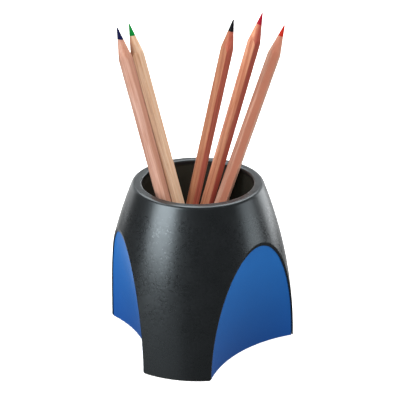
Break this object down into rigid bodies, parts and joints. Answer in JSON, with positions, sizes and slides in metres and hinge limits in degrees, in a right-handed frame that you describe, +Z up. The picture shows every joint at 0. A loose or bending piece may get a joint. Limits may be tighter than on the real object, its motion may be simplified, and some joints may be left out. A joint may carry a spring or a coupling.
{
  "type": "pencil cup with pencils",
  "caption": "Domed desk pencil cup on broad legs with concave coloured side panels and a deep round well, holding sharpened hexagonal wooden coloured pencils that lift out.",
  "frame": {"origin": "on the desk, on the vertical axis of the cup, in the middle of the underside of the anti-slip mat", "axes": "+Z up along the cup's axis; one leg points along -Y, the other legs point 30 degrees above +X and 30 degrees above -X; the plane x = 0 mirrors the cup"},
  "size_m": [0.1136, 0.1047, 0.196],
  "materials": {
    "shell_plastic": "satin black with a fine moulded grain",
    "well_plastic": "matt black",
    "panel_plastic": "satin blue with a fine moulded grain",
    "base_plastic": "matt black",
    "mat_rubber": "matt foam rubber",
    "pale_cedar": "bare sanded wood, pale",
    "red_cedar": "bare sanded wood, reddish",
    "blue_lead": "waxy pigment",
    "green_lead": "waxy pigment",
    "black_lead": "waxy pigment",
    "crimson_lead": "waxy pigment",
    "orange_lead": "waxy pigment"
  },
  "bodies": {
    "cup": {"outer_shell": "shell_plastic", "pen_well": "well_plastic", "side_panel_right": "panel_plastic", "side_panel_rear": "panel_plastic", "side_panel_left": "panel_plastic", "base_plate": "base_plastic", "anti_slip_mat": "mat_rubber"},
    "blue_pencil": {"blue_pencil_upper_slat": "pale_cedar", "blue_pencil_lower_slat": "pale_cedar", "blue_pencil_lead": "blue_lead"},
    "green_pencil": {"green_pencil_upper_slat": "pale_cedar", "green_pencil_lower_slat": "pale_cedar", "green_pencil_lead": "green_lead"},
    "black_pencil": {"black_pencil_upper_slat": "red_cedar", "black_pencil_lower_slat": "red_cedar", "black_pencil_lead": "black_lead"},
    "crimson_pencil": {"crimson_pencil_upper_slat": "red_cedar", "crimson_pencil_lower_slat": "red_cedar", "crimson_pencil_lead": "crimson_lead"},
    "orange_pencil": {"orange_pencil_upper_slat": "red_cedar", "orange_pencil_lower_slat": "red_cedar", "orange_pencil_lead": "orange_lead"}
  },
  "joints": [
    {"name": "blue_pencil_lift", "type": "slide", "parent": "cup", "child": "blue_pencil", "axis": [-0.2419, -0.0055, 0.9703], "range_m": [0, 0.12]},
    {"name": "green_pencil_lift", "type": "slide", "parent": "cup", "child": "green_pencil", "axis": [-0.2487, 0.0039, 0.9686], "range_m": [0, 0.12]},
    {"name": "black_pencil_lift", "type": "slide", "parent": "cup", "child": "black_pencil", "axis": [0.1968, 0.0487, 0.9792], "range_m": [0, 0.12]},
    {"name": "crimson_pencil_lift", "type": "slide", "parent": "cup", "child": "crimson_pencil", "axis": [0.2417, 0.1216, 0.9627], "range_m": [0, 0.12]},
    {"name": "orange_pencil_lift", "type": "slide", "parent": "cup", "child": "orange_pencil", "axis": [0.2745, 0.2803, 0.9198], "range_m": [0, 0.12]}
  ]
}
